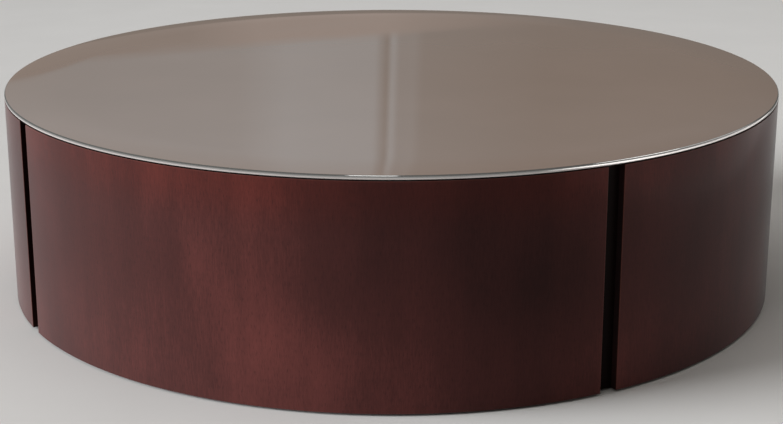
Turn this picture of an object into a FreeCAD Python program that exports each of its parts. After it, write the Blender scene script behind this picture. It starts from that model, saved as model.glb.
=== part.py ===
import FreeCAD, Part
import math
import os

# Round cocktail table: a low drum under a back-lacquered glass disc. Four curved veneered panels are screwed
# from inside to a dark inner skin, which shows at the back of the upright slot between each two of them.
# Millimetres, +Z up, origin on the floor under the middle of the drum, a slot on each of +X, +Y, -X and -Y.

Vector = FreeCAD.Vector

# Overall sizes
drum_diameter = 1200.0
overall_height = 325.0
floor_gap = 3.0

# Glass top and the soft bumpers under it
glass_thickness = 6.0
glass_bevel = 1.5
glass_lower_arris = 0.8
bumper_height = 1.5
bumper_diameter = 14.0
bumper_edge_distance = 60.0
bumper_inner_circle = 420.0
outer_bumper_count = 12
inner_bumper_count = 4

# Wall of the drum, from the face inwards
panel_count = 4
slot_width = 26.0
panel_thickness = 12.0
veneer_thickness = 0.6
veneer_easing = 0.4
lipping_width = 6.0
skin_thickness = 10.0
glue_line = 0.1

# Carcass: a deck above, a ring below, two half-lapped ribs and four studs between them
deck_thickness = 18.0
ring_thickness = 18.0
ring_width = 148.0
rib_thickness = 18.0
rib_ends = (0.0, 90.0, 180.0, 270.0)
rib_depth = 110.0
rib_leg_width = 95.0
rib_arch_radius = 120.0
rib_end_clearance = 0.3
lap_clearance = 0.15
stud_width = 45.0
stud_depth = 40.0

# Countersunk wood screws, and how far each kind bites into the far piece. The panel screws stop short of the
# veneer by a cover instead.
screw_diameter = 4.0
screw_head_overhang = 2.0
screw_tip_length = 4.0
screw_tip_diameter = 0.8
screw_head_recess = 0.2
screw_clearance = 0.05
drive_slot_width = 1.0
drive_slot_length = 4.4
drive_slot_depth = 1.4
deck_screw_bite = 28.0
ring_screw_bite = 28.0
edge_screw_bite = 26.0
seam_screw_bite = 22.0
panel_screw_cover = 3.8
rib_screw_middle_distance = 150.0
rib_screw_end_distance = 147.5
edge_screw_angles = (-35.0, -15.0, 15.0, 35.0)
panel_screw_angles = (-32.0, -13.0, 13.0, 32.0)
wall_screw_rows = 2
leg_screw_count = 2

# Levelling feet: a nylon pad that stays still, and a steel stem that turns in it and in a tee nut in the ring
thread_diameter = 8.0
thread_clearance = 0.05
leveller_travel = 12.0
stem_spare_length = 6.0
stem_end_chamfer = 1.0
pad_diameter = 44.0
pad_height = 12.0
pad_floor_thickness = 4.0
pad_bottom_chamfer = 1.0
pad_top_radius = 2.0
stem_foot_lip = 2.5
stem_foot_height = 3.0
stem_neck_diameter = 11.0
stem_collar_height = 2.0
socket_clearance = 0.1
hex_across_flats = 13.0
hex_height = 6.0
hex_sides = 6
stop_gap = 0.5
tee_flange_width = 5.75
tee_flange_thickness = 1.5
tee_barrel_wall = 1.2
tee_barrel_length = 14.0
tee_prong_count = 4
tee_prong_width = 3.0
tee_prong_thickness = 1.2
tee_prong_height = 7.0
tee_prong_inset = 1.0
stem_hole_clearance = 0.5

# Radii, worked out from the face inwards
outer_radius = drum_diameter / 2
veneer_inner_radius = outer_radius - veneer_thickness
core_outer_radius = veneer_inner_radius - glue_line
core_inner_radius = outer_radius - panel_thickness
skin_outer_radius = core_inner_radius - glue_line
skin_inner_radius = skin_outer_radius - skin_thickness
former_radius = skin_inner_radius - glue_line
ring_inner_radius = former_radius - ring_width
leveller_circle_radius = former_radius - ring_width / 2

# Diameters that follow a smaller one
screw_head_diameter = screw_diameter + 2 * screw_head_overhang
tee_bore_diameter = thread_diameter + 2 * thread_clearance
tee_barrel_diameter = tee_bore_diameter + 2 * tee_barrel_wall
tee_flange_diameter = tee_barrel_diameter + 2 * tee_flange_width
stem_foot_diameter = stem_neck_diameter + 2 * stem_foot_lip

# Heights, worked out from the floor and from the glass
hex_foot = pad_height + stem_collar_height
hex_top = hex_foot + hex_height
ring_foot = hex_top + stop_gap + tee_flange_thickness
ring_top = ring_foot + ring_thickness
glass_foot = overall_height - glass_thickness
carcass_top = glass_foot - bumper_height
deck_foot = carcass_top - deck_thickness
beam_foot = deck_foot - rib_depth
rib_reach = math.sqrt((skin_inner_radius - rib_end_clearance) ** 2 - (rib_thickness / 2) ** 2)

quarter_turn = 360.0 / panel_count

# How far a cutting tool runs past a face, how near two heights count as one,
# and the largest share of a wall that a rounding may take
overrun = 1.0
touch = 0.001
rounding_share = 0.9


def cylinder(diameter, low, high):
    """An upright round bar about the Z axis."""
    return Part.makeCylinder(diameter / 2, high - low, Vector(0, 0, low))


def shell(inside, outside, low, high):
    """An upright tube about the Z axis."""
    return cylinder(2 * outside, low, high).cut(cylinder(2 * inside, low, high))


def block(low, high):
    """A box between two opposite corners."""
    size = high - low
    return Part.makeBox(size.x, size.y, size.z, low)


def turned(shape, degrees):
    """A copy of a shape, turned about the Z axis."""
    copy = shape.copy()
    copy.rotate(Vector(0, 0, 0), Vector(0, 0, 1), degrees)
    return copy


def polar(radius, degrees, height):
    """A point at a distance from the Z axis, an angle from +X and a height."""
    angle = math.radians(degrees)
    return Vector(radius * math.cos(angle), radius * math.sin(angle), height)


def lathe(points):
    """A solid turned about the Z axis from (radius, height) points."""
    outline = Part.makePolygon([Vector(r, 0, z) for r, z in points + points[:1]])
    return Part.Face(outline).revolve(Vector(0, 0, 0), Vector(0, 0, 1), 360)


def edges_where(shape, test):
    """The edges of a shape whose middle passes a test."""
    return [edge for edge in shape.Edges if test(edge.CenterOfMass, edge)]


def is_upright(edge):
    """Whether an edge is a straight line along Z."""
    box = edge.BoundBox
    return max(box.XLength, box.YLength) < touch < box.ZLength


# Screws. Each group is a list of (middle of the head's face, direction of drive), with one length.

def screw_outline(length, growth):
    """Radius and height points of a countersunk screw, grown all round, its head at the origin, tip down."""
    shank = screw_diameter / 2 + growth
    head = screw_head_diameter / 2 + growth
    head_depth = head - shank
    tip = screw_tip_diameter / 2 + growth
    end = -length - growth
    return [(0, 0), (head, 0), (shank, -head_depth), (shank, screw_tip_length - length), (tip, end), (0, end)]


def screw(length):
    """A countersunk wood screw with a cross recess, its head at the origin and its tip down."""
    body = lathe(screw_outline(length, 0))
    half_length, half_width = drive_slot_length / 2, drive_slot_width / 2
    foot = Vector(-half_length, -half_width, -drive_slot_depth)
    bar = block(foot, Vector(half_length, half_width, overrun))
    return body.cut(bar.fuse(turned(bar, 90)))


def screw_hole(length):
    """The drilled and countersunk hole that a screw sits in."""
    mouth = cylinder(screw_head_diameter + 2 * screw_clearance, 0, screw_head_recess + overrun)
    return lathe(screw_outline(length, screw_clearance)).fuse(mouth)


def driven(shape, places):
    """Copies of a shape that points down, one at each place, turned to its direction of drive."""
    copies = []
    for point, direction in places:
        copy = shape.copy()
        turn = FreeCAD.Rotation(Vector(0, 0, -1), direction)
        copy.Placement = FreeCAD.Placement(point + direction * screw_head_recess, turn)
        copies.append(copy)
    return copies


class ScrewGroup:
    """Alike screws, and the holes that they need in the pieces they join."""

    def __init__(self, length, places):
        self.screws = driven(screw(length), places)
        self.holes = driven(screw_hole(length), places)


def drilled(shape, *groups):
    """A shape with the holes of the screws that reach it."""
    box = shape.BoundBox
    holes = [hole for group in groups for hole in group.holes if hole.BoundBox.intersect(box)]
    return shape.cut(holes) if holes else shape


def slot_angles():
    """The angle of each slot, counted from +X."""
    return [quarter_turn * n for n in range(panel_count)]


def stud_angles():
    """The angle of each stud, half way between two slots."""
    return [quarter_turn * (n + 0.5) for n in range(panel_count)]


def wall_heights():
    """Heights of the screw rows on the open wall between the ring and the deck."""
    step = (deck_foot - ring_top) / (wall_screw_rows + 1)
    return [ring_top + step * (n + 1) for n in range(wall_screw_rows)]


stud_middle_radius = former_radius - stud_depth / 2
rib_screw_radii = (rib_screw_middle_distance, rib_reach - rib_screw_end_distance)
leg_screw_step = rib_leg_width / (leg_screw_count + 1)
leg_screw_radii = [rib_reach - leg_screw_step * (n + 1) for n in range(leg_screw_count)]
up, down = Vector(0, 0, 1), Vector(0, 0, -1)


def outward(degrees):
    """The unit direction away from the Z axis at an angle."""
    return polar(1, degrees, 0)


def deck_screw_group():
    """Driven down through the deck into both ribs and all studs."""
    places = [(polar(radius, angle, carcass_top), down) for angle in rib_ends for radius in rib_screw_radii]
    places += [(polar(stud_middle_radius, angle, carcass_top), down) for angle in stud_angles()]
    return ScrewGroup(deck_thickness + deck_screw_bite, places)


def ring_screw_group():
    """Driven up through the ring into the rib legs and the studs."""
    places = [(polar(radius, angle, ring_foot), up) for angle in rib_ends for radius in leg_screw_radii]
    places += [(polar(stud_middle_radius, angle, ring_foot), up) for angle in stud_angles()]
    return ScrewGroup(ring_thickness + ring_screw_bite, places)


def edge_screw_group(height):
    """Driven inwards through the skin into the edge of the deck or the ring."""
    angles = [slot + offset for slot in slot_angles() for offset in edge_screw_angles]
    places = [(polar(skin_outer_radius, angle, height), -outward(angle)) for angle in angles]
    return ScrewGroup(skin_thickness + glue_line + edge_screw_bite, places)


def seam_screw_group():
    """Driven inwards through the skin into a stud, on both sides of the seam between two skin quarters."""
    places = []
    for angle in stud_angles():
        aside = outward(angle + 90) * (stud_width / 4)
        reach = math.sqrt(skin_outer_radius ** 2 - aside.Length ** 2)
        for height in wall_heights():
            middle = polar(reach, angle, height)
            places += [(middle + aside, -outward(angle)), (middle - aside, -outward(angle))]
    return ScrewGroup(skin_thickness + glue_line + seam_screw_bite, places)


def panel_screw_group():
    """Driven outwards through the skin into the cores of the curved panels, from inside the drum."""
    places = [
        (polar(skin_inner_radius, angle + offset, height), outward(angle + offset))
        for angle in stud_angles()
        for offset in panel_screw_angles
        for height in wall_heights()
    ]
    core_bite = core_outer_radius - core_inner_radius - panel_screw_cover
    return ScrewGroup(skin_thickness + glue_line + core_bite, places)


deck_screws = deck_screw_group()
ring_screws = ring_screw_group()
deck_edge_screws = edge_screw_group((deck_foot + carcass_top) / 2)
ring_edge_screws = edge_screw_group((ring_foot + ring_top) / 2)
seam_screws = seam_screw_group()
panel_screws = panel_screw_group()


# Glass top

def glass_top():
    """The glass disc, flush with the drum, with a polished bevel above and a finer arris below."""
    disc = cylinder(drum_diameter, glass_foot, overall_height)
    upper = edges_where(disc, lambda middle, edge: edge.Closed and middle.z > overall_height - touch)
    disc = disc.makeChamfer(glass_bevel, upper)
    lower = edges_where(disc, lambda middle, edge: edge.Closed and middle.z < glass_foot + touch)
    return disc.makeChamfer(glass_lower_arris, lower)


def bumpers():
    """Soft discs on the deck that carry the glass: a circle near its edge and a few nearer its middle."""
    circles = [
        (former_radius - bumper_edge_distance, outer_bumper_count),
        (bumper_inner_circle / 2, inner_bumper_count),
    ]
    found = []
    for radius, count in circles:
        for n in range(count):
            place = polar(radius, 360.0 * (n + 0.5) / count, 0)
            found.append(cylinder(bumper_diameter, carcass_top, glass_foot).translated(place))
    return found


# Wall of the drum

def sector(inside, outside):
    """A tube the height of the wall, from +X round to the next slot."""
    foot = Vector(0, 0, floor_gap)
    wedge = Part.makeCylinder(outside, carcass_top - floor_gap, foot, up, quarter_turn)
    return wedge.cut(cylinder(2 * inside, floor_gap - overrun, carcass_top + overrun))


def slot_strip(half_width, degrees):
    """A strip along the middle of the slot at an angle, from the Z axis out past the wall."""
    low = Vector(0, -half_width, floor_gap - overrun)
    high = Vector(drum_diameter, half_width, carcass_top + overrun)
    return turned(block(low, high), degrees)


def panel_layer(inside, outside, half_gap):
    """One layer of the panel between the slot on +X and the next, its ends parallel to the slots."""
    return sector(inside, outside).cut([slot_strip(half_gap, 0), slot_strip(half_gap, quarter_turn)])


def panel_core():
    """The moulded plywood core of that panel, without its lippings."""
    return panel_layer(core_inner_radius, core_outer_radius, slot_width / 2 + lipping_width)


def edge_lippings():
    """The solid wood strips on the two ends of that core, which face the slots."""
    layer = panel_layer(core_inner_radius, core_outer_radius, slot_width / 2)
    reach = slot_width / 2 + lipping_width
    return [layer.common(slot_strip(reach, degrees)) for degrees in (0, quarter_turn)]


def face_veneer():
    """The veneer over the core and its lippings, its upright outer edges eased."""
    sheet = panel_layer(veneer_inner_radius, outer_radius, slot_width / 2)
    limit = outer_radius - veneer_thickness / 2
    outer = edges_where(
        sheet, lambda middle, edge: is_upright(edge) and math.hypot(middle.x, middle.y) > limit
    )
    return sheet.makeFillet(min(veneer_easing, rounding_share * veneer_thickness), outer)


def skin_quarter():
    """The bent plywood skin behind the slot on +X, from one seam to the next."""
    return turned(sector(skin_inner_radius, skin_outer_radius), -quarter_turn / 2)


# Carcass

def top_deck():
    """The plywood disc under the glass."""
    return drilled(cylinder(2 * former_radius, deck_foot, carcass_top), deck_screws, deck_edge_screws)


def base_ring():
    """The plywood ring near the floor, bored for the tee nuts and the stems that pass up through them."""
    blank = shell(ring_inner_radius, former_radius, ring_foot, ring_top)
    ring = drilled(blank, ring_screws, ring_edge_screws)
    stem_hole = cylinder(thread_diameter + 2 * stem_hole_clearance, ring_foot - overrun, ring_top + overrun)
    seat = tee_nut_envelope().fuse(stem_hole)
    return ring.cut([at_leveller(seat, n) for n in range(panel_count)])


def rib_blank():
    """A full-width arched rib along X: a leg on the ring at each end and a beam under the deck."""
    half = rib_thickness / 2
    blank = block(Vector(-rib_reach, -half, ring_top), Vector(rib_reach, half, deck_foot))
    leg = rib_reach - rib_leg_width
    arch = block(Vector(-leg, -rib_thickness, ring_top - overrun), Vector(leg, rib_thickness, beam_foot))
    corners = edges_where(
        arch, lambda middle, edge: abs(middle.x) > leg - touch and middle.z > beam_foot - touch
    )
    radius = min(rib_arch_radius, rounding_share * (beam_foot - ring_top))
    return blank.cut(arch.makeFillet(radius, corners))


def lap_notch(low, high):
    """The notch at the middle of a rib that lies along X, where the other rib crosses it."""
    half = rib_thickness / 2 + lap_clearance
    return block(Vector(-half, -rib_thickness, low), Vector(half, rib_thickness, high))


def ribs():
    """The two ribs, halved together where they cross, along X from above and along Y from below."""
    lap_height = (beam_foot + deck_foot) / 2
    along_x = rib_blank().cut(lap_notch(lap_height, deck_foot + overrun))
    along_y = turned(rib_blank().cut(lap_notch(beam_foot - overrun, lap_height)), 90)
    return [drilled(rib, deck_screws, ring_screws) for rib in (along_x, along_y)]


def stud():
    """An upright on the ring behind a seam of the skin, at +X, with its back shaped to the skin."""
    half = stud_width / 2
    foot = Vector(former_radius - stud_depth, -half, ring_top)
    bar = block(foot, Vector(skin_outer_radius, half, deck_foot))
    return bar.common(cylinder(2 * former_radius, ring_top, deck_foot))


# Levelling feet

def at_leveller(shape, n):
    """A copy of a shape made on the Z axis, moved to the n-th levelling foot."""
    return turned(shape.translated(Vector(leveller_circle_radius, 0, 0)), stud_angles()[n])


def tee_nut_envelope():
    """A tee nut with its bore filled: a flange under the ring, a barrel in it and prongs biting upwards."""
    flange = cylinder(tee_flange_diameter, ring_foot - tee_flange_thickness, ring_foot)
    barrel = cylinder(tee_barrel_diameter, ring_foot - overrun, ring_foot + tee_barrel_length)
    outer = tee_flange_diameter / 2 - tee_prong_inset
    half = tee_prong_width / 2
    prong = block(
        Vector(outer - tee_prong_thickness, -half, ring_foot - tee_flange_thickness),
        Vector(outer, half, ring_foot + tee_prong_height),
    )
    prongs = [turned(prong, 360.0 * n / tee_prong_count) for n in range(tee_prong_count)]
    return flange.fuse([barrel] + prongs).removeSplitter()


def tee_nut():
    """A tee nut, its thread drawn as a plain bore."""
    bore = cylinder(tee_bore_diameter, 0, ring_top + tee_barrel_length)
    return tee_nut_envelope().cut(bore)


def leveller_pad():
    """The nylon pad on the floor, with the undercut socket that holds the foot of the stem."""
    pad = cylinder(pad_diameter, 0, pad_height)
    top_edge = edges_where(pad, lambda middle, edge: edge.Closed and middle.z > touch)
    pad = pad.makeFillet(pad_top_radius, top_edge)
    foot_edge = edges_where(pad, lambda middle, edge: edge.Closed and middle.z < touch)
    pad = pad.makeChamfer(pad_bottom_chamfer, foot_edge)
    socket_top = pad_floor_thickness + stem_foot_height + socket_clearance
    socket = cylinder(stem_foot_diameter + 2 * socket_clearance, pad_floor_thickness, socket_top)
    throat = cylinder(stem_neck_diameter + 2 * socket_clearance, pad_floor_thickness, pad_height + overrun)
    return pad.cut(socket.fuse(throat))


def leveller_stem():
    """The steel stem: a foot held in the pad, a neck, a hexagon for a spanner and the threaded shank."""
    foot = cylinder(stem_foot_diameter, pad_floor_thickness, pad_floor_thickness + stem_foot_height)
    neck = cylinder(stem_neck_diameter, pad_floor_thickness, hex_foot)
    corner_radius = hex_across_flats / math.sqrt(3)
    corners = [polar(corner_radius, 360.0 * n / hex_sides, hex_foot) for n in range(hex_sides + 1)]
    hexagon = Part.Face(Part.makePolygon(corners)).extrude(Vector(0, 0, hex_height))
    top = ring_foot + tee_barrel_length + leveller_travel + stem_spare_length
    shank = cylinder(thread_diameter, hex_foot, top)
    end_edge = edges_where(shank, lambda middle, edge: middle.z > top - touch)
    shank = shank.makeChamfer(stem_end_chamfer, end_edge)
    return foot.fuse([neck, hexagon, shank]).removeSplitter()


def build():
    """Every node of the table, by name: a list of the solids in it."""
    nodes = {
        "glass_top": [glass_top()],
        "glass_bumpers": bumpers(),
        "top_deck": [top_deck()],
        "base_ring": [base_ring()],
        "deck_screws": deck_screws.screws,
        "ring_screws": ring_screws.screws,
        "deck_edge_screws": deck_edge_screws.screws,
        "ring_edge_screws": ring_edge_screws.screws,
        "seam_screws": seam_screws.screws,
        "panel_screws": panel_screws.screws,
        "tee_nuts": [at_leveller(tee_nut(), n) for n in range(panel_count)],
    }
    nodes["rib_lengthwise"], nodes["rib_crosswise"] = ([rib] for rib in ribs())
    first_lipping, second_lipping = edge_lippings()
    pad, stem = leveller_pad(), leveller_stem()
    skin_screws = (panel_screws, deck_edge_screws, ring_edge_screws, seam_screws)
    for n in range(panel_count):
        number = n + 1
        turn = quarter_turn * n
        core = drilled(turned(panel_core(), turn), panel_screws)
        skin = drilled(turned(skin_quarter(), turn), *skin_screws)
        post = drilled(turned(stud(), stud_angles()[n]), deck_screws, ring_screws, seam_screws)
        nodes[f"panel_core_{number}"] = [core]
        nodes[f"edge_lipping_{number}_start"] = [turned(first_lipping, turn)]
        nodes[f"edge_lipping_{number}_end"] = [turned(second_lipping, turn)]
        nodes[f"face_veneer_{number}"] = [turned(face_veneer(), turn)]
        nodes[f"skin_quarter_{number}"] = [skin]
        nodes[f"stud_{number}"] = [post]
        nodes[f"leveller_pad_{number}"] = [at_leveller(pad, n)]
        nodes[f"leveller_stem_{number}"] = [at_leveller(stem, n)]
    return nodes


def main():
    """Writes one STEP file for each node and prints what it holds."""
    os.makedirs("parts", exist_ok=True)
    for name, solids in build().items():
        shape = Part.makeCompound(solids) if len(solids) > 1 else solids[0]
        shape.exportStep(f"parts/{name}.step")
        volume = sum(solid.Volume for solid in solids)
        print(f"{name}: {len(shape.Solids)} solids, {volume / 1000:.1f} cm3, valid {shape.isValid()}")


main()
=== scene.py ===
# %% [markdown]
# # A round cocktail table
# The table is a low drum: dark curved panels, recessed upright slots between them, and a disc of lacquered
# glass on top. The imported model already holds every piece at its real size. This lesson gives the pieces
# their finishes, and remakes the few whose shape shows up close.

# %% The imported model
import math

import bpy
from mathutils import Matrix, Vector


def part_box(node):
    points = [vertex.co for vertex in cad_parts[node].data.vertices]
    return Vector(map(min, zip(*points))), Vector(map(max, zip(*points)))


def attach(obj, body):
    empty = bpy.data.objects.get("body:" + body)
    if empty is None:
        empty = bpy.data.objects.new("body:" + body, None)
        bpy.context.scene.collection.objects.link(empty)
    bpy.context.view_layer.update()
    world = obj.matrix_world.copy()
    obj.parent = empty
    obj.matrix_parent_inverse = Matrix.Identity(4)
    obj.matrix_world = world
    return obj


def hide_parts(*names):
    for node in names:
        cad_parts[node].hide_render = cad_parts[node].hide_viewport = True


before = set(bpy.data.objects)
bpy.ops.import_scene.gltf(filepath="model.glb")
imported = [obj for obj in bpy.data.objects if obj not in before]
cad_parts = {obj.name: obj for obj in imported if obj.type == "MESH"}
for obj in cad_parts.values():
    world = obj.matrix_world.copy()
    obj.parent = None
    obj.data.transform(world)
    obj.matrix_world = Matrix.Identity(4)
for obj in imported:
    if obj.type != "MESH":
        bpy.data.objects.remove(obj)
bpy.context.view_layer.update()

quarters = range(1, 5)

# %% [markdown]
# Sizes come from the boxes of the pieces, so that nothing here has to be fitted afterwards. The first panel lies
# between the slots on +X and +Y, so the low corner of its box is half a slot away from both axes. Only what no
# box can tell, such as the thickness of the veneer, is written down.

# %% Sizes, in metres
glass_low, glass_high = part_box("glass_top")
veneer_low, veneer_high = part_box("face_veneer_1")
_, deck_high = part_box("top_deck")
drum_radius = glass_high.x
slot_half_width = veneer_low.x
wall_foot, wall_top = veneer_low.z, veneer_high.z
veneer_thickness = 0.0006
veneer_easing = 0.0004
ply_thickness = 0.0014
print("radius", round(drum_radius, 4), "slot", round(2 * slot_half_width, 4), "wall", wall_foot, wall_top)
print("room for the bumpers", round(glass_low.z - deck_high.z, 4))

# %% [markdown]
# Finishes and shape recipes are both node trees. A small helper adds a node, sets it and wires it in one line, so
# that a recipe reads from top to bottom. An input may be a plain value or the output of an earlier node.

# %% A helper for node trees


class Recipe:
    """Adds nodes to a tree. An input given as a socket is wired, and anything else is set as its value."""

    def __init__(self, tree):
        self.tree = tree

    def feed(self, socket, value):
        if isinstance(value, bpy.types.NodeSocket):
            self.tree.links.new(value, socket)
        else:
            socket.default_value = value

    def add(self, kind, inputs=None, **settings):
        node = self.tree.nodes.new(kind)
        for name, value in settings.items():
            setattr(node, name, value)
        for name, value in (inputs or {}).items():
            self.feed(node.inputs[name], value)
        return node

    def math(self, operation, first, second=0.0, third=0.0):
        inputs = {0: first, 1: second, 2: third}
        return self.add("ShaderNodeMath", inputs, operation=operation).outputs[0]

    def spread(self, value, low, high, new_low=0.0, new_high=1.0, smooth=False, clamp=True):
        inputs = {"Value": value, "From Min": low, "From Max": high, "To Min": new_low, "To Max": new_high}
        kind = "SMOOTHSTEP" if smooth else "LINEAR"
        return self.add("ShaderNodeMapRange", inputs, interpolation_type=kind, clamp=clamp).outputs[0]

    def vary(self, pattern, first, last):
        """A value that follows a pattern, from its darker parts to its lighter ones."""
        return self.spread(pattern, 0.3, 0.7, first, last)

    def split(self, vector):
        return self.add("ShaderNodeSeparateXYZ", {0: vector}).outputs

    def join(self, x, y, z=0.0):
        return self.add("ShaderNodeCombineXYZ", {0: x, 1: y, 2: z}).outputs[0]

    def dot(self, first, second):
        return self.add("ShaderNodeVectorMath", {0: first, 1: second}, operation="DOT_PRODUCT").outputs["Value"]

    def noise(self, point, cells, detail, roughness=0.5):
        """A cloudy pattern with so many cells to the metre along each axis."""
        scaled = self.add("ShaderNodeVectorMath", {0: point, 1: cells}, operation="MULTIPLY").outputs[0]
        inputs = {"Vector": scaled, "Scale": 1.0, "Detail": detail, "Roughness": roughness}
        return self.add("ShaderNodeTexNoise", inputs).outputs[0]

    def ramp(self, value, stops):
        node = self.add("ShaderNodeValToRGB", {0: value})
        elements = node.color_ramp.elements
        while len(elements) < len(stops):
            elements.new(0.5)
        for element, (place, colour) in zip(elements, stops):
            element.position = place
            element.color = (*colour, 1.0)
        return node.outputs[0]

    def blend(self, factor, first, second, kind="MIX"):
        node = self.add("ShaderNodeMix", data_type="RGBA", blend_type=kind)
        sockets = {socket.name: socket for socket in node.inputs if socket.enabled}
        self.feed(sockets["Factor"], factor)
        for name, colour in (("A", first), ("B", second)):
            self.feed(sockets[name], (*colour, 1.0) if isinstance(colour, tuple) else colour)
        return next(socket for socket in node.outputs if socket.enabled)

    def bump(self, height, distance, strength=0.4):
        inputs = {"Height": height, "Distance": distance, "Strength": strength}
        return self.add("ShaderNodeBump", inputs).outputs[0]


def new_finish(name):
    """A material with an empty recipe and its Principled shader."""
    material = bpy.data.materials.new(name)
    material.use_nodes = True
    material.node_tree.nodes.clear()
    recipe = Recipe(material.node_tree)
    shader = recipe.add("ShaderNodeBsdfPrincipled")
    recipe.add("ShaderNodeOutputMaterial", {"Surface": shader.outputs[0]})
    return material, recipe, shader


def finish_with(recipe, shader, **inputs):
    """Sets or wires the inputs of a Principled shader, an underscore standing for each space in a name."""
    for name, value in inputs.items():
        recipe.feed(shader.inputs[name.replace("_", " ")], value)


def object_point(recipe):
    return recipe.add("ShaderNodeTexCoord").outputs["Object"]


def surface_normal(recipe):
    return recipe.add("ShaderNodeNewGeometry").outputs["Normal"]


# %% [markdown]
# The wall is curved, and its grain stands upright. A pattern on plain X and Y would be sliced at a different
# slant all round the drum. Turning a point into its way round the drum and its height unrolls the wall like a
# label. The angle jumps on the far side, at -X, and that place falls in a slot, where nothing shows it.

# %% Unrolling the wall


def unrolled(recipe):
    """The way round the drum and the height of a point, both in metres."""
    x, y, z = recipe.split(object_point(recipe))
    angle = recipe.math("ARCTAN2", y, x)
    return recipe.join(recipe.math("MULTIPLY", angle, drum_radius), z)


def radial(recipe):
    """The distance of a point from the drum's axis, and how far its face looks outwards, from -1 to 1."""
    x, y, _ = recipe.split(object_point(recipe))
    flat = recipe.join(x, y)
    distance = recipe.add("ShaderNodeVectorMath", {0: flat}, operation="LENGTH").outputs["Value"]
    outward = recipe.add("ShaderNodeVectorMath", {0: flat}, operation="NORMALIZE").outputs[0]
    return distance, recipe.dot(outward, surface_normal(recipe))


# %% [markdown]
# The veneer is mahogany, stained dark red-brown under a satin lacquer. Six patterns make it: clouds of stain two
# hands wide, two sets of patches half as wide, upright ribbons of figure, fine streaks, and pores that are short
# dark dashes along the grain. Over them light is painted in: the head and the foot of a panel are painted lighter,
# and the head redder, for the floor's light on the wall and in its gloss, and a thin highlight is painted along the
# arrises. The satin lacquer is two layers: a soft bloom that greys the wood where the light falls on it, and a very
# thin coat that only shows where the wall is seen at a slant.

# %% Mahogany
mahogany_stops = [
    (0.30, (0.0279, 0.0070, 0.0058)),
    (0.50, (0.0620, 0.0155, 0.0130)),
    (0.70, (0.1380, 0.0345, 0.0290)),
]
# Clouds, two sets of patches, and ribbons: cells to the metre round and up the wall, place in the noise, weight.
stain_patterns = [
    ((4, 2, 1), 473.2, 0.32),
    ((8, 4, 1), 463.6, 0.26),
    ((9, 4, 1), 713.73, 0.16),
    ((60, 2.5, 1), 0.0, 0.08),
]
streak_cells, streak_weight, streak_relief = (400, 50, 1), 0.16, 0.35
pore_cells, pore_limits, pore_blend = (1150, 110, 1), (0.58, 0.70), 0.35
figure_offset = -0.034
# Painted light: distances from the top or the foot of the wall, and how much lighter the wood is painted between
# them.
painted_head_span, head_lightening = (0.072, 0.007), 0.052
painted_foot_span, foot_lightening = (0.047, 0.197), 0.072
# Painted light as well: the span below the top over which the head is painted redder.
painted_red_head_span = (0.085, 0.010)
# A highlight painted along the arrises: its width beside a slot, its span below the top, and its weight there.
highlight_width, highlight_span, upper_highlight = 0.0022, (0.0024, 0.0004), 0.4
# The painted red of the head, the black of the pores, and the red of the painted arris highlight.
painted_head_red = (1.0, 0.74, 0.64)
pore_black = (0.010, 0.0040, 0.0036)
highlight_red = (0.150, 0.045, 0.032)
bloom_weight, bloom_tint = 0.24, (0.90, 0.96, 1.0, 1.0)


def painted_arris_highlight(recipe):
    """A painted highlight: 1 on the upright edges of the panels and less on their upper edges, falling to 0 in a few
    millimetres.
    """
    x, y, z = recipe.split(object_point(recipe))
    from_slot = recipe.math("MINIMUM", recipe.math("ABSOLUTE", x), recipe.math("ABSOLUTE", y))
    upright = recipe.spread(from_slot, slot_half_width, slot_half_width + highlight_width, 1.0, 0.0, smooth=True)
    start, stop = (wall_top - distance for distance in highlight_span)
    upper = recipe.spread(z, start, stop, 0.0, upper_highlight, smooth=True)
    return recipe.math("MAXIMUM", upright, upper)


def painted_light_by_height(recipe, height):
    """Painted light: how much lighter the wood is painted at a height, 0 across the middle, and more at the head and
    the foot.
    """
    head = recipe.spread(height, *(wall_top - d for d in painted_head_span), 0.0, head_lightening, smooth=True)
    foot = recipe.spread(height, *(wall_foot + d for d in painted_foot_span), foot_lightening, 0.0, smooth=True)
    return recipe.math("ADD", head, foot)


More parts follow.
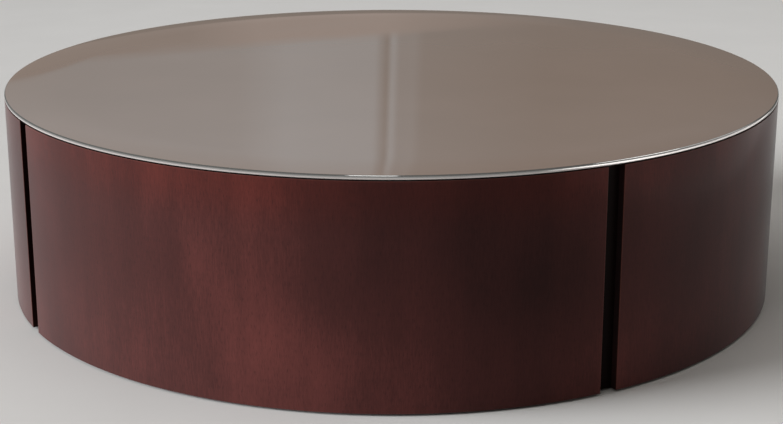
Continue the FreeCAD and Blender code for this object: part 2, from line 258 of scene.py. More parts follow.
def mahogany(name, strength, arris_highlight):
    """Stained wood: how light its colour and its bloom are, and how strong the highlight painted on its arrises is.
    """
    material, recipe, shader = new_finish(name)
    wall = unrolled(recipe)
    way, height, _ = recipe.split(wall)
    streak = recipe.noise(wall, streak_cells, detail=3, roughness=0.6)
    pore = recipe.spread(recipe.noise(wall, pore_cells, detail=1), *pore_limits)
    # The tone starts from the painted light at the head and the foot, and the patterns of the wood are added to it.
    figure = recipe.math("ADD", painted_light_by_height(recipe, height), figure_offset)
    for cells, depth, weight in stain_patterns:
        pattern = recipe.noise(recipe.join(way, height, depth), cells, detail=2)
        figure = recipe.math("MULTIPLY_ADD", pattern, weight, figure)
    figure = recipe.math("MULTIPLY_ADD", streak, streak_weight, figure)
    colour = recipe.ramp(figure, [(place, [strength * part for part in red]) for place, red in mahogany_stops])
    # The head is painted redder: painted light.
    head = recipe.spread(height, *(wall_top - d for d in painted_red_head_span), smooth=True)
    colour = recipe.blend(head, colour, painted_head_red, kind="MULTIPLY")
    colour = recipe.blend(recipe.math("MULTIPLY", pore, pore_blend), colour, pore_black)
    # The highlight painted along the arrises, in a lighter red.
    painted_highlight = recipe.math("MULTIPLY", painted_arris_highlight(recipe), arris_highlight)
    colour = recipe.blend(painted_highlight, colour, highlight_red)
    relief = recipe.math("MULTIPLY_ADD", pore, -1.0, recipe.math("MULTIPLY", streak, streak_relief))
    finish_with(recipe, shader, Base_Color=colour, IOR=1.06, Roughness=recipe.vary(streak, 0.36, 0.46),
                Sheen_Weight=bloom_weight * strength, Sheen_Roughness=0.5, Sheen_Tint=bloom_tint,
                Coat_Weight=0.6, Coat_IOR=1.08, Coat_Roughness=0.15, Normal=recipe.bump(relief, 0.00012, 0.30))
    return material


veneer_finish = mahogany("mahogany_veneer", strength=1.0, arris_highlight=0.45)
# The solid edges line the slots. Their copy of the mahogany is a quarter as light, which is painted shade for the
# slots, and has no painted highlight.
lipping_painted_shade_finish = mahogany("mahogany_lipping", strength=0.25, arris_highlight=0.0)
print("mahogany for the faces and for their solid edges")

# %% [markdown]
# Plywood shows two sides. On its faces the birch is pale, with a broad quiet figure. On its edges the plies show
# as thin stripes, turn about light and brown. The same recipe serves flat boards and bent ones: it only needs to
# be told how deep a point lies in the stack, how squarely its face looks along the stack, and which way the grain
# runs.

# %% Plywood
birch_face = [(0.30, (0.46, 0.335, 0.205)), (0.55, (0.56, 0.420, 0.270)), (0.75, (0.63, 0.485, 0.325))]
birch_edge = [(0.40, (0.27, 0.170, 0.090)), (0.60, (0.52, 0.380, 0.235))]
# The near black is a dark stain and also painted shade, for the backs of the slots and the thin gap under the glass,
# which the skin and the cores face.
ebony_and_shade_black, ebony_and_shade_brown = (0.0036, 0.0012, 0.0010), (0.0080, 0.0026, 0.0020)


def plywood_colour(recipe, depth, squareness, grain):
    """The colour of birch plywood, and the tone of its grain."""
    figure = recipe.noise(grain, cells=(2.2, 26, 26), detail=4)
    fibre = recipe.noise(grain, cells=(26, 820, 820), detail=2)
    tone = recipe.math("MULTIPLY_ADD", fibre, 0.30, recipe.math("MULTIPLY", figure, 0.70))
    face = recipe.ramp(tone, birch_face)
    turns = recipe.math("MULTIPLY", depth, math.pi / ply_thickness)
    stripe = recipe.math("MULTIPLY_ADD", recipe.math("SINE", turns), 0.5, 0.5)
    rough_stripe = recipe.math("MULTIPLY_ADD", fibre, 0.35, recipe.math("MULTIPLY", stripe, 0.80))
    edge = recipe.ramp(rough_stripe, birch_edge)
    is_face = recipe.spread(recipe.math("ABSOLUTE", squareness), 0.60, 0.75)
    return recipe.blend(is_face, edge, face), tone


def flat_plywood(name, stack, along):
    """Plywood whose plies are stacked along one axis, 0 for X to 2 for Z, with its grain along another."""
    material, recipe, shader = new_finish(name)
    point = recipe.split(object_point(recipe))
    squareness = recipe.split(surface_normal(recipe))[stack]
    across = 3 - stack - along
    grain = recipe.join(point[along], point[across], point[stack])
    colour, tone = plywood_colour(recipe, point[stack], squareness, grain)
    finish_with(recipe, shader, Base_Color=colour, Roughness=recipe.vary(tone, 0.62, 0.50),
                Normal=recipe.bump(tone, 0.0003, 0.3))
    return material


def bent_plywood(name, stain_inside):
    """Plywood bent round the drum, stained near black, partly as painted shade, with its inner face stained or left
    raw.
    """
    material, recipe, shader = new_finish(name)
    distance, outwardness = radial(recipe)
    way, height, _ = recipe.split(unrolled(recipe))
    colour, tone = plywood_colour(recipe, distance, outwardness, recipe.join(height, way))
    dark = recipe.blend(recipe.spread(tone, 0.35, 0.65, 0.0, 0.5), ebony_and_shade_black, ebony_and_shade_brown)
    if not stain_inside:
        dark = recipe.blend(recipe.spread(outwardness, -0.55, -0.40), colour, dark)
    finish_with(recipe, shader, Base_Color=dark, IOR=1.15,
                Roughness=recipe.vary(tone, 0.48, 0.60), Normal=recipe.bump(tone, 0.0002, 0.3))
    return material


deck_finish = flat_plywood("plywood_boards", stack=2, along=0)
rib_finishes = {
    "rib_lengthwise": flat_plywood("plywood_rib_along_x", stack=1, along=0),
    "rib_crosswise": flat_plywood("plywood_rib_along_y", stack=0, along=1),
}
skin_finish = bent_plywood("ebonised_skin_and_slot_shade", stain_inside=False)
core_finish = bent_plywood("stained_core_and_gap_shade", stain_inside=True)
print("plywood for the deck, the ring, the ribs, the skin and the cores")

# %% [markdown]
# What holds the drum together is plain workshop stock: planed softwood, bright zinc-plated steel, moulded nylon
# and soft silicone. Each still has its own grain, at its own scale: year rings, the cloudy bloom of zinc, the
# fine spark texture of a mould.

# %% Timber, steel, nylon and silicone
rings_to_the_metre, ring_bend = 900.0, 46.0
softwood_stops = [(0.3, (0.36, 0.215, 0.105)), (0.5, (0.53, 0.355, 0.19)), (0.7, (0.60, 0.43, 0.25))]
zinc_stops = [(0.35, (0.50, 0.50, 0.485)), (0.55, (0.63, 0.63, 0.61)), (0.70, (0.70, 0.68, 0.62))]
nylon_stops = [(0.35, (0.017, 0.017, 0.018)), (0.65, (0.030, 0.030, 0.032))]
silicone_stops = [(0.35, (0.40, 0.40, 0.39)), (0.65, (0.50, 0.50, 0.49))]


def softwood():
    material, recipe, shader = new_finish("stud_softwood")
    point = object_point(recipe)
    bend = recipe.noise(point, cells=(9, 9, 1.2), detail=2)
    x, y, _ = recipe.split(point)
    way = recipe.math("MULTIPLY_ADD", x, rings_to_the_metre, y)
    ring = recipe.math("SINE", recipe.math("MULTIPLY_ADD", bend, ring_bend, way))
    fibre = recipe.noise(point, cells=(700, 700, 18), detail=2)
    tone = recipe.math("MULTIPLY_ADD", ring, 0.16, recipe.math("MULTIPLY_ADD", fibre, 0.4, 0.3))
    finish_with(recipe, shader, Base_Color=recipe.ramp(tone, softwood_stops),
                Roughness=recipe.vary(fibre, 0.52, 0.66), Normal=recipe.bump(tone, 0.0003, 0.3))
    return material


def zinc_plate():
    material, recipe, shader = new_finish("zinc_plated_steel")
    point = object_point(recipe)
    bloom = recipe.noise(point, cells=(160, 160, 160), detail=4)
    scratch = recipe.noise(point, cells=(2200, 2200, 300), detail=1)
    finish_with(recipe, shader, Base_Color=recipe.ramp(bloom, zinc_stops), Metallic=1.0,
                Roughness=recipe.vary(bloom, 0.26, 0.44), Normal=recipe.bump(scratch, 0.00005, 0.25))
    return material


def nylon():
    material, recipe, shader = new_finish("moulded_nylon")
    point = object_point(recipe)
    spark = recipe.noise(point, cells=(2600, 2600, 2600), detail=1)
    cloud = recipe.noise(point, cells=(120, 120, 120), detail=2)
    finish_with(recipe, shader, Base_Color=recipe.ramp(cloud, nylon_stops),
                Roughness=recipe.vary(spark, 0.46, 0.62), Normal=recipe.bump(spark, 0.00006, 0.4))
    return material


def silicone():
    material, recipe, shader = new_finish("soft_silicone")
    cloud = recipe.noise(object_point(recipe), cells=(300, 300, 300), detail=2)
    finish_with(recipe, shader, Base_Color=recipe.ramp(cloud, silicone_stops), Subsurface_Weight=0.2,
                Roughness=recipe.vary(cloud, 0.36, 0.5), Normal=recipe.bump(cloud, 0.00004, 0.2))
    return material


stud_finish, steel_finish, nylon_finish, silicone_finish = softwood(), zinc_plate(), nylon(), silicone()
print("softwood, zinc plate, nylon and silicone")

# %% [markdown]
# The glass is clear, and taupe lacquer covers its underside, so from above it is a colour deep under a mirror.
# Real refraction would make the lacquer dim and noisy for no gain: a plain colour under a smooth mirror gives the
# same picture. Its edge is another matter. The ground bevel is grey and dark, and the head of the rim below it is
# painted as dark. The foot of the rim is painted bright, a painted glow for the light that runs through the disc to
# its edge, and shows as a thin bright line. Light that has bounced about in clear glass makes its edge a stronger
# mirror than its face, so the edge gets a higher index.

# %% Lacquered glass
taupe_stops = [(0.3, (0.240, 0.169, 0.129)), (0.7, (0.252, 0.177, 0.136))]
face_index, edge_index = 1.50, 3.2
bevel_foot, bevel_head = (0.088, 0.091, 0.087), (0.074, 0.076, 0.073)
# The rim's bright foot is a painted glow, and its head is painted as dark as the bevel.
rim_painted_glow, rim_head = (0.52, 0.467, 0.45), (0.110, 0.110, 0.105)
edge_drift = 0.4
line_foot, line_head = glass_low.z + 0.0019, glass_low.z + 0.0033


def lacquered_face():
    material, recipe, shader = new_finish("lacquered_glass")
    point = object_point(recipe)
    mottle = recipe.noise(point, cells=(6, 6, 6), detail=3)
    smear = recipe.noise(point, cells=(3, 11, 3), detail=4)
    finish_with(recipe, shader, Base_Color=recipe.ramp(mottle, taupe_stops), IOR=face_index,
                Roughness=recipe.spread(smear, 0.4, 0.75, 0.03, 0.08), Normal=recipe.bump(mottle, 0.0001, 0.02))
    return material


def glass_edge(name, foot, head, low_roughness, high_roughness):
    """A glass edge seen from outside, from the tone of its foot to the one of its head, drifting a little; the rim's
    bright foot is a painted glow.
    """
    material, recipe, shader = new_finish(name)
    wall = unrolled(recipe)
    way, height, _ = recipe.split(wall)
    drift = recipe.noise(recipe.join(way, 0.0), cells=(7, 1, 1), detail=2)
    grind = recipe.noise(wall, cells=(220, 1800, 1), detail=1)
    rise = recipe.spread(height, line_foot, line_head, 0.1, 0.9, smooth=True)
    tone = recipe.math("MULTIPLY_ADD", recipe.math("SUBTRACT", drift, 0.5), edge_drift, rise)
    finish_with(recipe, shader, Base_Color=recipe.ramp(tone, [(0.0, foot), (1.0, head)]), IOR=edge_index,
                Roughness=recipe.vary(grind, low_roughness, high_roughness))
    return material


face_finish = lacquered_face()
bevel_finish = glass_edge("glass_bevel", bevel_foot, bevel_head, low_roughness=0.04, high_roughness=0.09)
rim_finish = glass_edge("glass_rim", rim_painted_glow, rim_head, low_roughness=0.05, high_roughness=0.12)
print("lacquered face, ground bevel and bright rim")

# %% [markdown]
# Some pieces follow a rule, so Geometry Nodes make them: a panel is a block bent round the drum, the bumpers are
# one pad copied round two circles, and a stem is a cylinder whose radius winds up like a thread. A recipe gets
# named inputs, grows on an empty mesh, and is then turned into a plain mesh with nothing live left on it.

# %% Growing a mesh from a recipe
socket_kinds = {float: "NodeSocketFloat", int: "NodeSocketInt", Vector: "NodeSocketVector"}


class ShapeRecipe(Recipe):
    """A Geometry Nodes tree with named inputs and one mesh output."""

    def __init__(self, name, inputs):
        super().__init__(bpy.data.node_groups.new(name, "GeometryNodeTree"))
        self.identifiers = {}
        for label, kind in inputs.items():
            socket = self.tree.interface.new_socket(label, in_out="INPUT", socket_type=socket_kinds[kind])
            self.identifiers[label] = socket.identifier
        self.tree.interface.new_socket("Mesh", in_out="OUTPUT", socket_type="NodeSocketGeometry")
        self.inputs = self.add("NodeGroupInput").outputs

    def close(self, geometry, material):
        real = self.add("GeometryNodeRealizeInstances", {"Geometry": geometry})
        coated = self.add("GeometryNodeSetMaterial", {"Geometry": real.outputs[0], "Material": material})
        self.add("NodeGroupOutput", {0: coated.outputs[0]})

    def grow(self, name, **values):
        """An object with the mesh that the recipe makes for these inputs, an underscore for each space."""
        piece = bpy.data.objects.new(name, bpy.data.meshes.new(name))
        bpy.context.scene.collection.objects.link(piece)
        modifier = piece.modifiers.new("shape", "NODES")
        modifier.node_group = self.tree
        for label, value in values.items():
            modifier[self.identifiers[label.replace("_", " ")]] = value
        depsgraph = bpy.context.evaluated_depsgraph_get()
        mesh = bpy.data.meshes.new_from_object(piece.evaluated_get(depsgraph), depsgraph=depsgraph)
        piece.modifiers.remove(modifier)
        piece.data = mesh
        return piece


def smooth_but_sharp(mesh, degrees=30):
    """Smooth shading, with edges sharper than an angle left crisp."""
    mesh.shade_smooth()
    mesh.set_sharp_from_angle(angle=math.radians(degrees))


# %% [markdown]
# A face of veneer is a thin sheet round a quarter of the drum, and its ends are parallel to the slots. The recipe
# starts from a block of many cells. One side becomes the radius, one the angle and one the height. The outermost
# row of points is squeezed to the width of the easing and drawn in, so every arris is softly broken.

# %% Curved faces of veneer
face_cells, height_cells = 96, 12


def squeezed(recipe, share, cells, low, high, margin):
    """A share from 0 to 1 as a place between two limits, with its end cells squeezed to a margin."""
    inner = recipe.spread(
        share, 1 / cells, 1 - 1 / cells, recipe.math("ADD", low, margin), recipe.math("SUBTRACT", high, margin),
        clamp=False,
    )
    return recipe.math("MINIMUM", recipe.math("MAXIMUM", inner, low), high)


def on_border(recipe, share, cells):
    """1 on the first and last points of a row, and 0 between them."""
    from_middle = recipe.math("ABSOLUTE", recipe.math("SUBTRACT", share, 0.5))
    return recipe.math("GREATER_THAN", from_middle, 0.5 - 0.5 / cells)


def veneer_recipe():
    recipe = ShapeRecipe("curved_veneer", {
        "Radius": float, "Thickness": float, "Slot Half": float, "Foot": float, "Top": float, "Easing": float,
        "Turn": float,
    })
    given = recipe.inputs
    counts = {"Vertices X": 2, "Vertices Y": face_cells + 1, "Vertices Z": height_cells + 1, "Size": (1, 1, 1)}
    block = recipe.add("GeometryNodeMeshCube", counts).outputs["Mesh"]
    shares = recipe.split(recipe.add("GeometryNodeInputPosition").outputs[0])
    depth, way, rise = (recipe.math("ADD", share, 0.5) for share in shares)
    border = recipe.math("MAXIMUM", on_border(recipe, way, face_cells), on_border(recipe, rise, height_cells))
    drawn_in = recipe.math("MULTIPLY", border, given["Easing"])
    span = recipe.math("SUBTRACT", given["Thickness"], drawn_in)
    inner = recipe.math("SUBTRACT", given["Radius"], given["Thickness"])
    radius = recipe.math("MULTIPLY_ADD", depth, span, inner)
    start = recipe.math("ARCSINE", recipe.math("DIVIDE", given["Slot Half"], radius))
    stop = recipe.math("SUBTRACT", math.pi / 2, start)
    margin = recipe.math("DIVIDE", given["Easing"], radius)
    angle = squeezed(recipe, way, face_cells, start, stop, margin)
    height = squeezed(recipe, rise, height_cells, given["Foot"], given["Top"], given["Easing"])
    turned = recipe.math("ADD", angle, given["Turn"])
    x = recipe.math("MULTIPLY", radius, recipe.math("COSINE", turned))
    y = recipe.math("MULTIPLY", radius, recipe.math("SINE", turned))
    bent = recipe.add("GeometryNodeSetPosition", {"Geometry": block, "Position": recipe.join(x, y, height)})
    recipe.close(bent.outputs[0], veneer_finish)
    return recipe


curved_veneer = veneer_recipe()
for number in quarters:
    face = curved_veneer.grow(
        f"veneer_{number}", Radius=drum_radius, Thickness=veneer_thickness, Slot_Half=slot_half_width,
        Foot=wall_foot, Top=wall_top, Easing=veneer_easing, Turn=math.pi / 2 * (number - 1),
    )
    smooth_but_sharp(face.data)
    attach(face, "base")
    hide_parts(f"face_veneer_{number}")
    print(face.name, len(face.data.polygons), "faces")

# %% [markdown]
# Soft pads keep the glass off the deck. They are squeezed a little under its weight, so their sides bulge. One pad
# is copied onto the points of two circles.

# %% Bumpers under the glass
bumper_low, bumper_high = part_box("glass_bumpers")
bumper_radius = 0.007
bumper_bulge = 0.0005
bumper_sides, bumper_rows = 32, 6
outer_bumpers, inner_bumpers = 12, 4
bumper_reach = math.cos(math.pi / outer_bumpers)
outer_circle = (bumper_high.x - bumper_radius) / bumper_reach
inner_circle = 0.21


def bumper_recipe():
    recipe = ShapeRecipe("bumper_pads", {
        "Pad Radius": float, "Bulge": float, "Foot": float, "Top": float, "Outer Circle": float,
        "Inner Circle": float,
    })
    given = recipe.inputs
    height = recipe.math("SUBTRACT", given["Top"], given["Foot"])
    counts = {"Vertices": bumper_sides, "Side Segments": bumper_rows}
    sizes = {"Radius": given["Pad Radius"], "Depth": height}
    pad = recipe.add("GeometryNodeMeshCylinder", counts | sizes).outputs["Mesh"]
    point = recipe.add("GeometryNodeInputPosition").outputs[0]
    x, y, z = recipe.split(point)
    from_middle = recipe.math("DIVIDE", recipe.math("MULTIPLY", z, 2.0), height)
    hollow = recipe.math("MULTIPLY", recipe.math("POWER", from_middle, 2.0), given["Bulge"])
    share = recipe.math("SUBTRACT", 1.0, recipe.math("DIVIDE", hollow, given["Pad Radius"]))
    place = recipe.join(recipe.math("MULTIPLY", x, share), recipe.math("MULTIPLY", y, share), z)
    squeezed_pad = recipe.add("GeometryNodeSetPosition", {"Geometry": pad, "Position": place}).outputs[0]
    middle = recipe.math("MULTIPLY", recipe.math("ADD", given["Top"], given["Foot"]), 0.5)
    circles = recipe.add("GeometryNodeJoinGeometry")
    for count, label in ((outer_bumpers, "Outer Circle"), (inner_bumpers, "Inner Circle")):
        ring = recipe.add("GeometryNodeMeshCircle", {"Vertices": count, "Radius": given[label]}).outputs[0]
        lift = {"Geometry": ring, "Translation": recipe.join(0.0, 0.0, middle), "Rotation": (0, 0, math.pi / count)}
        recipe.feed(circles.inputs[0], recipe.add("GeometryNodeTransform", lift).outputs[0])
    copies = {"Points": circles.outputs[0], "Instance": squeezed_pad}
    recipe.close(recipe.add("GeometryNodeInstanceOnPoints", copies).outputs[0], silicone_finish)
    return recipe


bumpers = bumper_recipe().grow(
    "silicone_bumpers", Pad_Radius=bumper_radius, Bulge=bumper_bulge, Foot=bumper_low.z, Top=bumper_high.z,
    Outer_Circle=outer_circle, Inner_Circle=inner_circle,
)
smooth_but_sharp(bumpers.data, degrees=50)
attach(bumpers, "base")
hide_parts("glass_bumpers")
print("bumpers on circles of", round(outer_circle, 4), "and", inner_circle)

# %% [markdown]
# Each levelling foot has a threaded stem. A thread is a ridge that climbs one pitch for each turn, so a point's
# radius depends only on its height less its share of a turn. That is one formula on a fine cylinder. The foot, the
# neck and the hexagon are joined to it as one closed solid.

# %% Threaded stems
thread_pitch = 0.00125
thread_depth = 0.00065
thread_radius = 0.004
stem_top_chamfer = 0.001
stem_foot = {"Radius": 0.008, "Low": 0.0, "High": 0.003, "Vertices": 48}
stem_neck = {"Radius": 0.0055, "Low": 0.001, "High": 0.011, "Vertices": 48}
stem_hexagon = {"Radius": 0.013 / math.sqrt(3), "Low": 0.010, "High": 0.016, "Vertices": 6}
thread_start = 0.014
thread_rows = 256
thread_sides = 32


def upright_bar(recipe, sizes):
    """A round or many-sided bar between two heights."""
    height = sizes["High"] - sizes["Low"]
    inputs = {"Vertices": sizes["Vertices"], "Radius": sizes["Radius"], "Depth": height}
    bar = recipe.add("GeometryNodeMeshCylinder", inputs).outputs["Mesh"]
    lift = {"Geometry": bar, "Translation": (0, 0, sizes["Low"] + height / 2)}
    return recipe.add("GeometryNodeTransform", lift).outputs[0]


def threaded_bar(recipe, length):
    """A bar with a right-hand thread from the thread's start up to the stem's length, its end chamfered."""
    given = recipe.inputs
    depth = recipe.math("SUBTRACT", length, thread_start)
    sides = {"Vertices": thread_sides, "Side Segments": thread_rows, "Radius": thread_radius, "Depth": depth}
    bar = recipe.add("GeometryNodeMeshCylinder", sides).outputs["Mesh"]
    x, y, z = recipe.split(recipe.add("GeometryNodeInputPosition").outputs[0])
    rise = recipe.math("MULTIPLY_ADD", depth, 0.5, z)
    angle = recipe.math("ARCTAN2", y, x)
    turns = recipe.math("SUBTRACT", recipe.math("DIVIDE", rise, given["Pitch"]),
                        recipe.math("DIVIDE", angle, 2 * math.pi))
    ridge = recipe.math("PINGPONG", turns, 0.5)
    root = recipe.math("SUBTRACT", thread_radius, given["Thread Depth"])
    radius = recipe.math("MULTIPLY_ADD", ridge, recipe.math("MULTIPLY", given["Thread Depth"], 2.0), root)
    to_end = recipe.math("SUBTRACT", depth, rise)
    radius = recipe.math("MINIMUM", radius, recipe.math("ADD", to_end, thread_radius - stem_top_chamfer))
    share = recipe.math("DIVIDE", radius, thread_radius)
    place = recipe.join(recipe.math("MULTIPLY", x, share), recipe.math("MULTIPLY", y, share),
                        recipe.math("ADD", rise, thread_start))
    return recipe.add("GeometryNodeSetPosition", {"Geometry": bar, "Position": place}).outputs[0]


def stem_recipe():
    recipe = ShapeRecipe("threaded_stem", {"Length": float, "Pitch": float, "Thread Depth": float, "Place": Vector})
    union = recipe.add("GeometryNodeMeshBoolean", operation="UNION", solver="EXACT")
    bars = [upright_bar(recipe, sizes) for sizes in (stem_foot, stem_neck, stem_hexagon)]
    for bar in bars + [threaded_bar(recipe, recipe.inputs["Length"])]:
        recipe.feed(union.inputs["Mesh 2"], bar)
    placed = {"Geometry": union.outputs["Mesh"], "Translation": recipe.inputs["Place"]}
    recipe.close(recipe.add("GeometryNodeTransform", placed).outputs[0], steel_finish)
    return recipe


threaded_stem = stem_recipe()
for number in quarters:
    low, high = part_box(f"leveller_stem_{number}")
    middle = (low + high) / 2
    stem = threaded_stem.grow(
        f"stem_{number}", Length=high.z - low.z, Pitch=thread_pitch, Thread_Depth=thread_depth,
        Place=(middle.x, middle.y, low.z),
    )
    smooth_but_sharp(stem.data, degrees=40)
    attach(stem, f"leveller_stem_{number}")
    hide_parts(f"leveller_stem_{number}")
    print(stem.name, len(stem.data.polygons), "faces")

# %% [markdown]
# The glass is a turned shape, so its outline is swept round the axis. The outline runs from the middle of the
# underside, out and up round the rim, and back to the middle of the top. Each corner is rounded over a third of a
# millimetre, because a polished edge shows as the light that runs along such roundings.

# %% The glass disc
glass_bevel = 0.0015
glass_lower_arris = 0.0008
corner_rounding = 0.00035
glass_sides = 384
face_rings = 6
face_upness, bevel_upness = 0.98, 0.35


def rounded_outline(corners, rounding, steps=3):
    """A chain of (radius, height) corners with each inner one turned into a short curve."""
    outline = [corners[0]]
    for before, corner, after in zip(corners, corners[1:], corners[2:]):
        start = corner + (before - corner).normalized() * rounding
        stop = corner + (after - corner).normalized() * rounding
        for step in range(steps + 1):
            share = step / steps
            outline.append(start * (1 - share) ** 2 + corner * 2 * share * (1 - share) + stop * share ** 2)
    return outline + [corners[-1]]


def turned_mesh(name, outline, sides):
    """A closed mesh swept round the Z axis from an outline that starts and ends on it."""
    inner = outline[1:-1]
    points = [(0, 0, outline[0].y)]
    for spot in inner:
        for side in range(sides):
            angle = 2 * math.pi * side / sides
            points.append((spot.x * math.cos(angle), spot.x * math.sin(angle), spot.y))
    points.append((0, 0, outline[-1].y))
    faces = []
    for side in range(sides):
        after = (side + 1) % sides
        faces.append((0, 1 + after, 1 + side))
        for ring in range(len(inner) - 1):
            low, high = 1 + ring * sides, 1 + (ring + 1) * sides
            faces.append((low + side, low + after, high + after, high + side))
        last = 1 + (len(inner) - 1) * sides
        faces.append((last + side, last + after, len(points) - 1))
    mesh = bpy.data.meshes.new(name)
    mesh.from_pydata(points, [], faces)
    return mesh


def glass_outline():
    low, high = glass_low.z, glass_high.z
    edge = [
        Vector((drum_radius - glass_lower_arris, low)), Vector((drum_radius, low + glass_lower_arris)),
        Vector((drum_radius, high - glass_bevel)), Vector((drum_radius - glass_bevel, high)),
    ]
    rings = [drum_radius * (ring + 1) / (face_rings + 1) for ring in range(face_rings)]
    under = [Vector((0, low))] + [Vector((radius, low)) for radius in rings]
    over = [Vector((radius, high)) for radius in reversed(rings)] + [Vector((0, high))]
    rounded = rounded_outline([under[-1]] + edge + [over[0]], corner_rounding)
    return under[:-1] + rounded + over[1:]


def paint_glass(mesh):
    """The face finish above and below, the bevel on slopes that look up, and the rim on the rest."""
    for finish in (face_finish, bevel_finish, rim_finish):
        mesh.materials.append(finish)
    for polygon in mesh.polygons:
        up = polygon.normal.z
        polygon.material_index = 0 if abs(up) > face_upness else 1 if up > bevel_upness else 2


glass_mesh = turned_mesh("glass_disc", glass_outline(), glass_sides)
paint_glass(glass_mesh)
smooth_but_sharp(glass_mesh, degrees=40)
glass = bpy.data.objects.new("glass_disc", glass_mesh)
bpy.context.scene.collection.objects.link(glass)
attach(glass, "glass")
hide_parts("glass_top")
print("glass", len(glass_mesh.polygons), "faces, normal of the first", tuple(glass_mesh.polygons[0].normal))

# %% [markdown]
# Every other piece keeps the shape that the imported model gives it, and only changes its finish.

# %% Finishes on the pieces that stay
kept_finishes = {
    "top_deck": deck_finish, "base_ring": deck_finish, "edge_lipping": lipping_painted_shade_finish, "panel_core": core_finish,
    "skin_quarter": skin_finish, "stud": stud_finish, "leveller_pad": nylon_finish, "tee_nuts": steel_finish,
    "deck_screws": steel_finish, "ring_screws": steel_finish, "deck_edge_screws": steel_finish,
    "ring_edge_screws": steel_finish, "seam_screws": steel_finish, "panel_screws": steel_finish, **rib_finishes,
}
kept_pieces = []
for name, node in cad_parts.items():
    finish = next((f for start, f in kept_finishes.items() if name.startswith(start)), None)
    if finish:
        node.data.materials.clear()
        node.data.materials.append(finish)
        kept_pieces.append(name)
print(len(kept_pieces), "pieces keep their shape")

# %% [markdown]
# The stage is a pale floor under a plain grey sky. Both are even in tone, so that nothing but the table draws the
# eye.

# %% Floor and sky
floor_half = 30.0
floor_stops = [(0.3, (0.70, 0.69, 0.675)), (0.7, (0.72, 0.71, 0.695))]
sky_colour, sky_strength = (1.0, 0.945, 0.885, 1.0), 0.20


def pale_floor():
    material, recipe, shader = new_finish("pale_floor")
    speck = recipe.noise(object_point(recipe), cells=(5, 5, 5), detail=3)
    finish_with(recipe, shader, Base_Color=recipe.ramp(speck, floor_stops), Roughness=0.9, IOR=1.2)
    mesh = bpy.data.meshes.new("floor")
    corners = [(floor_half * x, floor_half * y, 0) for x, y in ((-1, -1), (1, -1), (1, 1), (-1, 1))]
    mesh.from_pydata(corners, [], [(0, 1, 2, 3)])
    mesh.materials.append(material)
    floor = bpy.data.objects.new("floor", mesh)
    bpy.context.scene.collection.objects.link(floor)


def grey_sky():
    world = bpy.data.worlds.new("studio")
    world.use_nodes = True
    background = world.node_tree.nodes["Background"]
    background.inputs["Color"].default_value = sky_colour
    background.inputs["Strength"].default_value = sky_strength
    bpy.context.scene.world = world


pale_floor()
grey_sky()
print("floor", 2 * floor_half, "metres wide")

# %% [markdown]
# A lamp is hung at a place, faces a target and stays out of the camera's sight. A sun shines alike everywhere. A soft
# lamp is a rectangle, and a strip is a long one that lies level. A lamp can be graded: its strength then follows one
# ramp from side to side and another from foot to head.

# %% Kinds of lamp


def hang(data, place, target, power, colour):
    """Hangs a light at a place, facing a target, out of the camera's sight."""
    data.energy = power
    data.color = colour
    lamp = bpy.data.objects.new(data.name, data)
    lamp.location = place
    lamp.rotation_euler = (Vector(target) - Vector(place)).to_track_quat("-Z", "Y").to_euler()
    lamp.visible_camera = False
    bpy.context.scene.collection.objects.link(lamp)
    return lamp


def soft_sun(name, place, target, spread, power, colour):
    data = bpy.data.lights.new(name, "SUN")
    data.angle = spread
    hang(data, place, target, power, colour).visible_glossy = False


def soft_lamp(name, place, target, width, height, power, colour):
    data = bpy.data.lights.new(name, "AREA")
    data.shape = "RECTANGLE"
    data.size, data.size_y = width, height
    return hang(data, place, target, power, colour)


def level_strip(name, start, stop, depth, power, colour, faces_up=False):
    """A narrow lamp that faces the floor or the ceiling, with its long side from one place to another."""
    middle, along = (start + stop) / 2, stop - start
    lamp = soft_lamp(name, middle, middle + Vector((0, 0, -1)), along.length, depth, power, colour)
    lamp.rotation_euler = (math.pi if faces_up else 0, 0, math.atan2(along.y, along.x))
    return lamp


def grade(lamp, across_stops, rise_stops, lean=0.0):
    """Lets a lamp's strength follow a leaning ramp from side to side and another from foot to head."""
    lamp.use_nodes = True
    recipe = Recipe(lamp.node_tree)
    across, rise, _ = recipe.split(recipe.add("ShaderNodeNewGeometry").outputs["Parametric"])
    leaning = recipe.math("MULTIPLY_ADD", rise, -lean, across)
    greys = [recipe.ramp(value, [(place, (grey, grey, grey)) for place, grey in stops])
             for value, stops in ((leaning, across_stops), (rise, rise_stops))]
    emission = lamp.node_tree.nodes["Emission"]
    recipe.feed(emission.inputs["Strength"], recipe.math("MULTIPLY", *greys))


# %% [markdown]
# A low, very soft sun at the left gives the wood its slow fall from light to dark, and reaches all of the floor
# alike. A broad lamp lights the glass from above. Behind the drum hang three dim panels, which lie in the mirror of
# the glass. Two short strips overhead run as glints along the bevel. At the right, a panel and a glow low over the
# floor brighten the glass edge. The sun and the lamp above are left out of mirrors, so that no view of the glass is
# lost in glare. The panel and the glow at the right are seen in mirrors only, so that the wood stays dark beside the
# bright edge.

# %% Lamps
camera_azimuth = math.radians(-29.0)
to_camera = Vector((math.sin(camera_azimuth), -math.cos(camera_azimuth), 0))
to_right = Vector((math.cos(camera_azimuth), math.sin(camera_azimuth), 0))
drum_middle = Vector((0, 0, (wall_foot + wall_top) / 2))


def seen_at(right, near, height):
    """A place given as the camera sees it: to the right of the drum, nearer than it, and above the floor."""
    return to_right * right + to_camera * near + Vector((0, 0, height))


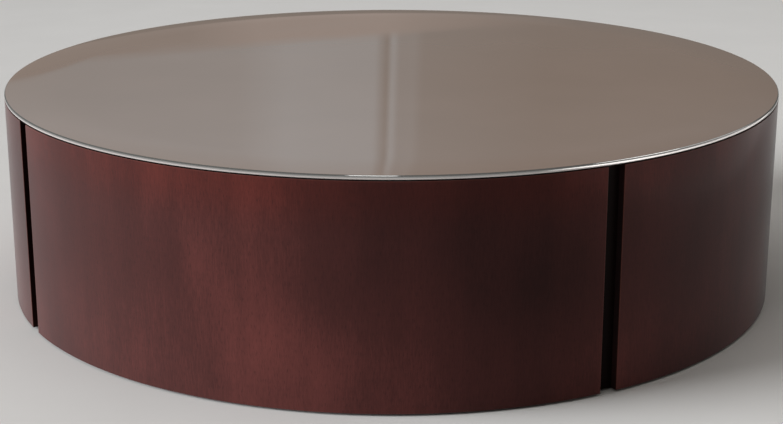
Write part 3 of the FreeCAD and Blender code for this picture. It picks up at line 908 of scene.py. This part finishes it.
daylight, white = (0.96, 0.98, 1.0), (1.0, 0.985, 0.97)
warm_white, glow_white = (1.0, 0.97, 0.94), (1.0, 0.95, 0.92)
back_blue, low_rose, wide_blue = (0.76, 0.905, 1.0), (1.0, 0.80, 0.73), (0.78, 0.90, 1.0)
back_place, low_place = seen_at(-0.55, -3.0, 1.42), seen_at(-0.55, -3.0, 0.745)
wide_place = seen_at(-0.55, -3.1, 1.6)
side_place, side_target = seen_at(2.76, -0.66, 2.21), seen_at(0.42, 0.42, 0.32)
back_roll, side_roll = math.radians(4.5), math.radians(-47)

# How strong a lamp is at each share of its way across or up
even = [(0.0, 1.0), (1.0, 1.0)]
back_across = [(0.03, 0.0), (0.205, 0.2), (0.219, 0.42), (0.24, 0.42), (0.249, 1.0), (0.257, 0.1), (0.265, 0.45),
               (0.274, 0.88), (0.40, 1.0), (0.47, 0.72), (1.0, 0.65)]
back_rise = [(0.0, 0.60), (0.15, 0.70), (0.38, 0.90), (0.73, 0.95)]
low_across = [(0.0, 0.0), (0.1, 0.3), (0.22, 0.7), (0.28, 1.0), (0.46, 1.0), (0.56, 0.47), (1.0, 0.35)]
wide_rise = [(0.0, 0.0), (0.25, 1.0)]
glow_across = [(0.0, 0.45), (0.10, 1.0), (0.25, 1.0), (0.40, 0.65), (0.55, 0.42), (0.85, 0.42), (1.0, 0.9)]
side_across = [(0.0, 0.0), (0.2, 1.0), (0.75, 1.0), (1.0, 0.0)]
side_rise = [(0.0, 0.0), (0.5, 1.0), (1.0, 0.0)]

soft_sun("left_sun", seen_at(-8.6, 1.5, 3.2), drum_middle, spread=math.radians(35), power=4.6, colour=daylight)
top = soft_lamp("top_lamp", seen_at(0.0, 0.0, 3.2), drum_middle, width=2.0, height=2.0, power=18.0, colour=white)
top.visible_glossy = False
level_strip("front_strip", seen_at(-0.44, 1.35, 3.0), seen_at(0.06, 1.35, 3.0), depth=0.4, power=2.2, colour=white)
level_strip("right_strip", seen_at(2.2, 0.55, 3.0), seen_at(3.45, -0.7, 3.0), depth=0.24, power=5.0,
            colour=warm_white)
glow = level_strip("floor_glow", seen_at(1.26, 1.53, 0.02), seen_at(1.70, -0.97, 0.02), depth=0.5, power=14.0,
                   colour=glow_white, faces_up=True)
grade(glow.data, glow_across, even)
side = soft_lamp("side_panel", side_place, side_target, width=3.5, height=1.0, power=14.0, colour=warm_white)
side.rotation_euler.rotate_axis("Z", side_roll)
grade(side.data, side_across, side_rise)
for lamp in (glow, side):
    lamp.visible_diffuse = False
back = soft_lamp("back_panel", back_place, back_place + to_camera, width=2.4, height=1.1, power=4.1, colour=back_blue)
grade(back.data, back_across, back_rise, lean=0.05)
low = soft_lamp("low_panel", low_place, low_place + to_camera, width=2.4, height=0.25, power=0.40, colour=low_rose)
grade(low.data, low_across, even)
for lamp in (back, low):
    lamp.rotation_euler.rotate_axis("Z", back_roll)
wide = soft_lamp("wide_panel", wide_place, wide_place + to_camera, width=5.0, height=1.2, power=1.5, colour=wide_blue)
grade(wide.data, even, wide_rise)
print("lamps", [lamp.name for lamp in bpy.data.lights])

# %% [markdown]
# The camera stands where the outline of the drum, measured on the photograph, puts it. Its place was fitted with
# the middle of the picture as the middle of the lens, so that it needs no shift.

# %% Camera
camera_distance = 2.6149
camera_height = 0.8821
camera_pitch = math.radians(16.697)
camera_lens = 77.25
sensor_width = 36.0

camera_data = bpy.data.cameras.new("camera")
camera_data.lens = camera_lens
camera_data.sensor_width = sensor_width
camera = bpy.data.objects.new("camera", camera_data)
camera.location = to_camera * camera_distance + Vector((0, 0, camera_height))
camera.rotation_euler = (math.pi / 2 - camera_pitch, 0, camera_azimuth)
bpy.context.scene.collection.objects.link(camera)
bpy.context.scene.camera = camera
bpy.context.scene.view_settings.view_transform = "Standard"
print("camera at", tuple(round(c, 3) for c in camera.location))
